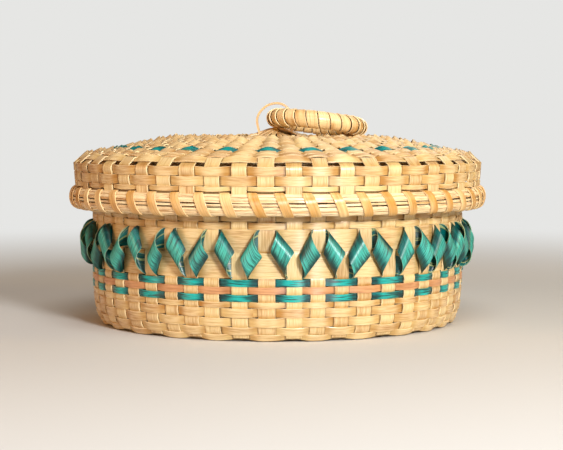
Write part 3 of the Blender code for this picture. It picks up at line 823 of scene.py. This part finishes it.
def body_rows(path, sizes):
    """The rows of the base and the wall, from the middle of the base up."""
    rows = []
    edges = np.linspace(path.length_at(0, BASE_MIDDLE), path.length_at(0, BASE_EDGE), BASE_ROWS + 1)
    for i in range(BASE_ROWS):
        parity = (BASE_ROWS - i) % 2
        rows.append(Row("base_weave", edges[i], edges[i + 1] - ROW_SPACE, parity, rise=0.0009, bend=0.0004))
    foot = path.length_at(1, FOOT_MIDDLE)
    low, high = foot - FOOT_ROW / 2, foot + FOOT_ROW / 2
    rows.append(Row("base_weave", edges[-1], low - FOOT_SPACE, 0, rise=0.0009, bend=0.0003))
    rows.append(Row("foot_row", low, high, 1, rise=0.0011, bend=0.0003, sink=0.0006))
    parity = 0
    for node, finish in (
        ("plain_row_1", "scraped_ash_splint"),
        ("plain_row_2", "scraped_ash_splint"),
        ("plain_row_3", "scraped_ash_splint"),
        ("narrow_row", "scraped_ash_splint"),
        ("teal_row_lower", "teal_dyed_ash"),
        ("brown_row", "brown_dyed_ash"),
        ("teal_row_upper", "teal_dyed_ash"),
        ("wide_row_lower", "scraped_ash_splint"),
        ("wide_row_upper", "scraped_ash_splint"),
        ("top_row_1", "scraped_ash_splint"),
        ("top_row_2", "scraped_ash_splint"),
    ):
        low, high = path.span(node)
        if node == "plain_row_1":
            low += FOOT_GAP
        if node.startswith("wide"):
            rows.append(Row(node, low, high, parity, rise=0.00025, bend=0.0006, sink=0.00075))
        else:
            rows.append(Row(node, low, high, parity, sizes.rise, WALL_BEND, finish=finish))
        parity = 1 - parity
    edges = np.linspace(*path.span("covered_row"), COVERED_ROWS + 1)
    for start, end in zip(edges, edges[1:]):
        rows.append(Row("covered_row", start, end - ROW_SPACE, parity, sizes.rise, WALL_BEND))
        parity = 1 - parity
    return rows


def lid_rows(path, sizes):
    """The rows of the lid, from its middle out and down."""
    rows = []
    middle, teal_start, teal_end, shoulder = (
        path.length_at(0, radius) for radius in (LID_MIDDLE, TEAL_INNER, TEAL_OUTER, SHOULDER_START)
    )
    edges = np.linspace(middle, teal_start, LID_INNER_ROWS + 1)
    for i in range(LID_INNER_ROWS):
        parity = (LID_INNER_ROWS - i + 1) % 2
        end = edges[i + 1] - ROW_SPACE
        rows.append(Row("lid_inner_weave", edges[i], end, parity, rise=0.0016, bend=0.0010))
    teal = "teal_dyed_ash"
    rows.append(Row("lid_teal_row", teal_start, teal_end, 1, rise=0.0015, bend=0.0010, finish=teal))
    edges = np.linspace(teal_end, shoulder, TOP_ROWS + 1)
    for i in range(TOP_ROWS):
        start = edges[i] + ROW_SPACE
        rows.append(Row(f"lid_top_row_{i + 1}", start, edges[i + 1], i % 2, rise=0.0014, bend=0.0009))
    end = path.length_at(1, SHOULDER_END)
    rows.append(Row("lid_shoulder_row", shoulder + ROW_SPACE, end, 0, rise=0.0009, bend=0.0005))
    for i, gap in enumerate(SIDE_ROW_GAPS):
        node = f"lid_side_row_{i + 1}"
        end, start = path.span(node)
        rows.append(Row(node, start, end - gap, 1 - i % 2, sizes.rise, WALL_BEND))
    return rows


def make_rows(path, rows, sizes, body, seed):
    """One piece for each solid that the rows stand for."""
    for node in dict.fromkeys(row.node for row in rows):
        strips = Strips(seed)
        seed += 1
        here = [row for row in rows if row.node == node]
        for row in here:
            if node == "lid_teal_row":
                thickness = sizes.thickness * TEAL_LEAF_THICKNESS
                middle = (row.start + row.end) / 2
                for start, end in ((row.start, middle), (middle, row.end)):
                    part = Row(node, start, end, row.parity, row.rise, row.bend)
                    add_row(strips, path, part, thickness, leaf=True, painted_light_scale=TEAL_LEAF_PAINTED_LIGHT)
            elif node.startswith(LEAFY):
                add_row(strips, path, row, sizes.thickness, gap=LEAF_GAP, leaf=True)
            else:
                end_turn = PLAIN_ROW_END if node == "plain_row_3" else None
                add_row(strips, path, row, sizes.thickness, end_turn)
        strips.make(node + "_woven", here[0].finish, body, [node])


class BasketOperator(bpy.types.Operator):
    """What the basket's operators share."""

    bl_options = {"REGISTER", "UNDO"}

    def read(self, context):
        """Takes the sizes and colours from the panel and makes the finishes."""
        self.sizes = context.scene.basket_sizes
        self.colours = context.scene.basket_colours
        make_finishes(self.colours)


class BASKET_OT_body(BasketOperator):
    """Weaves the base and the wall of the basket"""

    bl_idname = "basket.weave_body"
    bl_label = "Weave body"

    def execute(self, context):
        self.read(context)
        path = Path(BODY_CORNERS, BODY_BENDS, 1)
        rows = body_rows(path, self.sizes)
        strips = Strips(11)
        add_star(strips, path, rows, self.sizes, path.length_at(0, BASE_MIDDLE - PILE_GAP), BASE_LEVELS, 0)
        strips.make("body_standards_woven", "scraped_ash_splint", "basket", ["body_standards"])
        make_rows(path, rows, self.sizes, "basket", 100)
        return {"FINISHED"}


def smooth_line(keys, steps):
    """A smooth line through the keys, with steps points from each key to the next."""
    keys = np.asarray(keys, float)
    before = np.concatenate([2 * keys[:1] - keys[1:2], keys, 2 * keys[-1:] - keys[-2:-1]])
    line = []
    for i in range(len(keys) - 1):
        a, b, c, d = before[i : i + 4]
        for t in np.arange(steps) / steps:
            bend = (2 * a - 5 * b + 4 * c - d) * t**2 + (3 * b - a - 3 * c + d) * t**3
            line.append(b + ((c - a) * t + bend) / 2)
    line.append(keys[-1])
    return np.array(line)


class BASKET_OT_curls(BasketOperator):
    """Winds the curled teal splint round the body"""

    bl_idname = "basket.curl_splint"
    bl_label = "Curl splint"

    def execute(self, context):
        self.read(context)
        strips = Strips(21)
        chance = strips.chance
        middle = (height_span("wide_row_lower")[0] + height_span("wide_row_upper")[1]) / 2
        wall = BODY_CORNERS[-1][0]
        shape = np.array(CURL) * 0.001
        depth = self.sizes.curl_depth / np.max(shape[..., 2])
        free = np.sin(np.pi * np.linspace(0, 1, len(CURL)))[:, None, None]
        edges = []
        for i in range(STANDARDS):
            keys = shape + free * chance.normal(0, CURL_EDGE_STRAY, (1, 2, 3))
            keys += free * chance.normal(0, CURL_STRAY, (1, 1, 3))
            keys[:, :, 2] *= depth * CURL_FULLNESS + free[:, :, 0] * chance.uniform(*CURL_DEPTHS)
            line = smooth_line(keys.reshape(len(CURL), 6), 3).reshape(-1, 2, 3)
            if i % 2 == 0:
                line[:, :, 1] *= -1
                line = line[:, ::-1]
            turn = (turn_of(i) + turn_of(i + 1)) / 2 + CURL_TURN
            places = [turn + line[..., 0] / wall, middle + line[..., 1], wall + line[..., 2]]
            edges.append(np.stack(places, axis=-1))
            # behind the next front standard
            last = edges[-1][-1]
            after = (turn_of(i + 1) + turn_of(i + 2)) / 2 + CURL_TURN + shape[0, 0, 0] / wall
            for part in CURL_BACK_PARTS:
                flat = last.copy()
                flat[:, 0] += (after - last[0, 0]) * part
                flat[:, 2] = wall - CURL_BACK
                edges.append(flat[None])
        turn, height, radius = np.moveaxis(np.concatenate(edges), -1, 0)
        ends = at_turn(radius, turn, height)
        across = ends[:, 1] - ends[:, 0]
        width = np.linalg.norm(across, axis=1)
        # painted highlight along each curl where it stands out furthest, and a little painted shade where it
        # lies on the wall
        crest = np.clip((radius.mean(axis=1) - wall) / CURL_CREST, 0, 1) ** CURL_CREST_CURVE
        crest = CURL_LEAST_CREST + (1 - CURL_LEAST_CREST) * crest
        tones = 0.5 + wave(chance, np.linspace(0, 30, len(ends)), CURL_STREAK)
        lines = across / width[:, None]
        strips.add(ends.mean(axis=1), lines, width, CURL_THICKNESS, tones, crest, closed=True)
        strips.make("curl_strip_wound", "teal_curled_ash", "basket", ["curl_strip"])
        return {"FINISHED"}


def add_hoop(strips, radius, low, high, thickness):
    """A plain hoop between two heights, its face outwards. Its ends overlap."""
    start = strips.chance.uniform(0.5, 2.5)
    turns = np.linspace(start, start + 2 * math.pi + HOOP_LAP, 132)
    overlap = np.clip((turns - start - 2 * math.pi) / HOOP_LAP_RISE + 0.5, 0, 1)
    reach = radius + overlap * thickness * HOOP_LAP_LIFT + wave(strips.chance, turns, HOOP_STRAY)
    strips.add(at_turn(reach, turns, (low + high) / 2), at_turn(0, turns, 1), high - low, thickness)


def way_between(low, high, stations):
    """A wrap's way as (share, radius, height), where stations give each height as a share from low to high
    and metres over that."""
    return [(share, radius, low + (high - low) * side + lift) for share, radius, side, lift in stations]


def add_wraps(strips, way, count, lean, widths, thickness):
    """One splint wound round a rim, count times. way has the (share, radius, height) points of a turn, from
    the top down the outside and then up the inside."""
    chance = strips.chance
    first_turn = FRONT_TURN + PITCH / 2
    pitch = 2 * math.pi / count
    turns, squeezes, tones = [], [], []
    for i in range(count):
        shift = chance.uniform(-1, 1) * WRAP_STRAY
        tilt = lean * chance.uniform(*WRAP_LEANS)
        squeezes.append(chance.uniform(*WRAP_WIDTHS))
        tones.append(chance.uniform(*WRAP_TONES))
        for share, _, _ in way:
            if share <= 1:
                turns.append(first_turn + i * pitch + tilt * share + shift)
            else:
                rest = (share - 1) * (pitch - tilt)
                turns.append(first_turn + i * pitch + tilt + rest + shift * (2 - share))
    turns = np.array(turns)
    tones = np.repeat(tones, len(way))
    _, radius, height = np.tile(way, (count, 1)).T
    lines = at_turn(1, turns + math.pi / 2, 0)
    widths = np.outer(squeezes, widths).ravel()
    strips.add(at_turn(radius, turns, height), lines, widths, thickness, tones, WRAP_CREST, closed=True)


class BASKET_OT_body_rim(BasketOperator):
    """Lashes the rim of the body, which the lid covers"""

    bl_idname = "basket.lash_body_rim"
    bl_label = "Lash body rim"

    def execute(self, context):
        self.read(context)
        low, high = height_span("body_rim_outer_hoop")
        for node, radius in BODY_HOOPS.items():
            strips = Strips(31)
            add_hoop(strips, radius, low, high, BODY_HOOP)
            strips.make(node + "_bent", "scraped_ash_splint", "basket", [node])
        strips = Strips(33)
        way = way_between(low, high, BODY_WRAP_WAY)
        width, thickness = BODY_WRAP
        add_wraps(strips, way, BODY_WRAPS, BODY_WRAP_LEAN, [width] * len(way), thickness)
        strips.make("body_rim_lashing", "fine_split_ash", "basket", ["body_rim_wrapping"])
        return {"FINISHED"}


class BASKET_OT_lid(BasketOperator):
    """Weaves the dome and the wall of the lid"""

    bl_idname = "basket.weave_lid"
    bl_label = "Weave lid"

    def execute(self, context):
        self.read(context)
        path = Path(LID_CORNERS, LID_BENDS, -1)
        rows = lid_rows(path, self.sizes)
        strips = Strips(41)
        add_star(strips, path, rows, self.sizes, path.length_at(0, LID_MIDDLE - PILE_GAP), LID_LEVELS)
        strips.make("lid_standards_woven", "scraped_ash_splint", "lid", ["lid_standards"])
        make_rows(path, rows, self.sizes, "lid", 200)
        return {"FINISHED"}


class BASKET_OT_lid_rim(BasketOperator):
    """Lays the bundle of fine splints round the lid's rim and lashes it"""

    bl_idname = "basket.lash_lid_rim"
    bl_label = "Lash lid rim"

    def execute(self, context):
        self.read(context)
        low, high = height_span("lid_rim_inner_hoop")
        strips = Strips(51)
        add_hoop(strips, LID_HOOP_RADIUS, low, high, LID_HOOP)
        strips.make("lid_rim_inner_hoop_bent", "scraped_ash_splint", "lid", ["lid_rim_inner_hoop"])

        strips = Strips(52)
        chance = strips.chance
        count = self.sizes.rim_strands
        turns = np.linspace(0, 2 * math.pi, 313)[:-1]
        # the lashing squeezes the bundle where it crosses it
        squeeze = np.cos((turns - FRONT_TURN - PITCH / 2) * STANDARDS)
        lying = [(degrees, 0.0) for degrees in np.linspace(-80, 80, count)]
        lying += [(degrees, LOOSE_LIFT) for degrees in LOOSE_STRANDS]
        for i, (degrees, lift) in enumerate(lying):
            angles = math.radians(degrees) + wave(chance, turns, STRAND_STRAY, 7)
            angles = angles * (1 - SQUEEZE_SHARE * squeeze)
            layer = lift - STRAND_LAYER * (i % 2)
            reach = RIM_REACH[0] - SQUEEZE * squeeze + layer + wave(chance, turns, STRAND_LIFT)
            radius = RIM_MIDDLE[0] + reach * np.cos(angles)
            height = RIM_MIDDLE[1] + RIM_REACH[1] * np.sin(angles)
            lines = at_turn(-RIM_REACH[0] * np.sin(angles), turns, RIM_REACH[1] * np.cos(angles))
            lines /= np.linalg.norm(lines, axis=1)[:, None]
            width = STRANDS_WIDTH / count + wave(chance, turns, STRAND_UNEVEN, 7)
            tones = chance.uniform(*STRAND_TONES) + wave(chance, turns, STRAND_STREAK)
            strips.add(at_turn(radius, turns, height), lines, width, STRAND, tones, WRAP_CREST, closed=True)
        strips.make("lid_rim_strands", "fine_split_ash", "lid", ["lid_rim_bundle"])

        strips = Strips(53)
        angles = np.radians(np.arange(90, -91, -15))
        radius = RIM_MIDDLE[0] + (RIM_REACH[0] + LID_WRAP_LIFT) * np.cos(angles)
        height = RIM_MIDDLE[1] + (RIM_REACH[1] + LID_WRAP_LIFT) * np.sin(angles)
        way = list(zip((1 - np.sin(angles)) / 2, radius, height))
        way += way_between(height[-1], height[0], LID_WRAP_WAY_BACK)
        add_wraps(strips, way, STANDARDS, LID_WRAP_LEAN, LID_WRAP_WIDTHS, LID_WRAP)
        strips.make("lid_rim_lashing", "lashing_ash", "lid", ["lid_rim_wrapping"])
        return {"FINISHED"}


class BASKET_OT_handle(BasketOperator):
    """Winds the ring of the handle and bends the loop that holds it"""

    bl_idname = "basket.wind_handle"
    bl_label = "Wind handle"

    def execute(self, context):
        self.read(context)
        hinge = next(joint for joint in frame["joints"] if joint["name"] == "ring_flip")
        pivot = np.array(hinge["pos_m"], float)
        turn_ring = np.array(Euler((-RING_TILT, RING_SLOPE, 0)).to_matrix())

        def on_ring(reach, turn, height):
            """Points or directions round the ring's own middle. The turn counts from its hinge."""
            return at_turn(reach, -turn - math.pi / 2, height) @ turn_ring.T

        middle = np.array((RING_RADIUS, 0, 0)) @ turn_ring.T + pivot
        strips = Strips(61)
        chance = strips.chance
        count = self.sizes.ring_turns
        around = np.linspace(0, 2 * math.pi * count, count * 18 + 1)[:-1]
        turns = around / count
        tube = RING_TUBE + wave(chance, turns, RING_UNEVEN)
        points = on_ring(RING_RADIUS + tube * np.cos(around), turns, tube * np.sin(around)) + middle
        out = on_ring(np.cos(around), turns, np.sin(around))
        lines = on_ring(1, turns + math.pi / 2, 0) - out * RING_WRAP_LEAN * np.cos(turns)[:, None]
        lines /= np.linalg.norm(lines, axis=1)[:, None]
        tones = chance.uniform(*RING_TONES, count + 1)[(around / (2 * math.pi)).astype(int)]
        widths = (RING_WRAPS_WIDTH + RING_WRAPS_SWELL * np.cos(around)) / count
        strips.add(points, lines, widths, RING_WRAP, tones, WRAP_CREST, closed=True)
        # the core, which the wrapping covers, painted deep with painted shade so that it shows dark between
        # the turns
        turns = np.linspace(0, 2 * math.pi, 61)[:-1]
        width, thickness = CORE_SPLINT
        for angle in np.linspace(0, 2 * math.pi, CORE_SPLINTS + 1)[:-1]:
            reach, height = RING_CORE * math.cos(angle), RING_CORE * math.sin(angle)
            points = on_ring(RING_RADIUS + reach, turns, height) + middle
            lines = on_ring(-math.sin(angle), turns, math.cos(angle))
            strips.add(points, lines, width, thickness, tones=0.9, crests=0.2, closed=True)
        strips.make("ring_wound", "lashing_ash", "ring", ["ring_core", "ring_wrapping"])

        strips = Strips(62)
        line = smooth_line(np.array(LOOP) * 0.001, 4)
        points = np.insert(line, 1, 0, axis=1) + pivot
        lines = np.tile([0.0, -1.0, 0.0], (len(points), 1))
        width, thickness = LOOP_SPLINT
        strips.add(points, lines, width, thickness, tones=0.85, crests=WRAP_CREST)
        strips.make("handle_loop_bent", "lashing_ash", "lid", ["handle_loop"])
        return {"FINISHED"}


class BASKET_OT_stage(BasketOperator):
    """Lays the floor and sets the lamps and the camera"""

    bl_idname = "basket.set_stage"
    bl_label = "Set stage"

    def execute(self, context):
        self.read(context)
        scene = context.scene
        scene.view_settings.view_transform = "Standard"
        colour = self.colours.floor
        bpy.ops.mesh.primitive_circle_add(vertices=96, radius=FLOOR_RADIUS, fill_type="NGON")
        floor = context.active_object
        floor.name = "floor"
        material = bpy.data.materials.new("matt_pale_floor")
        material.use_nodes = True
        tree = material.node_tree
        shader = tree.nodes["Principled BSDF"]
        shader.inputs["Base Color"].default_value = (*[c * FLOOR_SHARE for c in colour], 1)
        shader.inputs["Roughness"].default_value = 0.9
        place = add(tree, "ShaderNodeTexCoord").outputs["Object"]
        distance = add(tree, "ShaderNodeVectorMath", {"operation": "LENGTH"}, {0: place}).outputs["Value"]
        spread = {"Value": distance, "From Min": FLOOR_FADE[0], "From Max": FLOOR_FADE[1]}
        fade = add(tree, "ShaderNodeMapRange", {"interpolation_type": "SMOOTHSTEP"}, spread).outputs[0]
        seen = add(tree, "ShaderNodeLightPath").outputs["Is Camera Ray"]
        share = add(tree, "ShaderNodeMath", {"operation": "MULTIPLY"}, {0: fade, 1: seen}).outputs[0]
        glow = add(tree, "ShaderNodeEmission", {}, {"Color": (*colour, 1), "Strength": 1.0})
        mixed = add(tree, "ShaderNodeMixShader", {}, {0: share, 1: shader.outputs[0], 2: glow.outputs[0]})
        tree.links.new(mixed.outputs[0], tree.nodes["Material Output"].inputs["Surface"])
        floor.data.materials.append(material)

        world = bpy.data.worlds.new("studio")
        scene.world = world
        world.use_nodes = True
        tree = world.node_tree
        light = tree.nodes["Background"]
        light.inputs["Color"].default_value = (*linear(WORLD_TINT), 1)
        light.inputs["Strength"].default_value = WORLD_LIGHT
        shown = add(tree, "ShaderNodeBackground", {}, {"Color": (*colour, 1), "Strength": 1.0})
        seen = add(tree, "ShaderNodeLightPath").outputs["Is Camera Ray"]
        mixed = add(tree, "ShaderNodeMixShader", {}, {0: seen, 1: light.outputs[0], 2: shown.outputs[0]})
        tree.links.new(mixed.outputs[0], tree.nodes["World Output"].inputs["Surface"])

        target = Vector(LIT_POINT)
        for name, (turn, rise, distance, size, power, tint) in LAMPS.items():
            lamp = bpy.data.lights.new(name, "AREA")
            lamp.shape = "DISK"
            lamp.size = size
            lamp.energy = power
            lamp.color = linear(tint)
            holder = bpy.data.objects.new(name, lamp)
            turn, rise = math.radians(turn), math.radians(rise)
            holder.location = target + distance * Vector(at_turn(math.cos(rise), turn, math.sin(rise)))
            holder.rotation_euler = (holder.location - target).to_track_quat("Z", "Y").to_euler()
            scene.collection.objects.link(holder)

        camera = bpy.data.cameras.new("camera")
        camera.lens = CAMERA_LENS
        camera.sensor_width = 36.0
        viewer = bpy.data.objects.new("camera", camera)
        viewer.location = CAMERA_PLACE
        viewer.rotation_euler = (math.pi / 2 - CAMERA_DIP, 0, 0)
        scene.collection.objects.link(viewer)
        scene.camera = viewer
        return {"FINISHED"}


class BASKET_PT_panel(bpy.types.Panel):
    """The basket's sizes, colours and pieces"""

    bl_idname = "BASKET_PT_panel"
    bl_label = "Splint basket"
    bl_space_type = "VIEW_3D"
    bl_region_type = "UI"
    bl_category = "Basket"

    def draw(self, context):
        layout = self.layout
        for group in (context.scene.basket_sizes, context.scene.basket_colours):
            column = layout.column()
            for name in group.__annotations__:
                column.prop(group, name)
        for operator in OPERATORS:
            layout.operator(operator.bl_idname)


OPERATORS = (
    BASKET_OT_stage,
    BASKET_OT_body,
    BASKET_OT_curls,
    BASKET_OT_body_rim,
    BASKET_OT_lid,
    BASKET_OT_lid_rim,
    BASKET_OT_handle,
)
CLASSES = (SplintSizes, SplintColours, *OPERATORS, BASKET_PT_panel)


def register():
    for cls in CLASSES:
        bpy.utils.register_class(cls)
    bpy.types.Scene.basket_sizes = PointerProperty(type=SplintSizes)
    bpy.types.Scene.basket_colours = PointerProperty(type=SplintColours)


def unregister():
    del bpy.types.Scene.basket_colours
    del bpy.types.Scene.basket_sizes
    for cls in reversed(CLASSES):
        bpy.utils.unregister_class(cls)


def main():
    """Makes every piece."""
    register()
    bpy.ops.basket.set_stage()
    bpy.ops.basket.weave_body()
    bpy.ops.basket.curl_splint()
    bpy.ops.basket.lash_body_rim()
    bpy.ops.basket.weave_lid()
    bpy.ops.basket.lash_lid_rim()
    bpy.ops.basket.wind_handle()


if __name__ == "__main__":
    main()
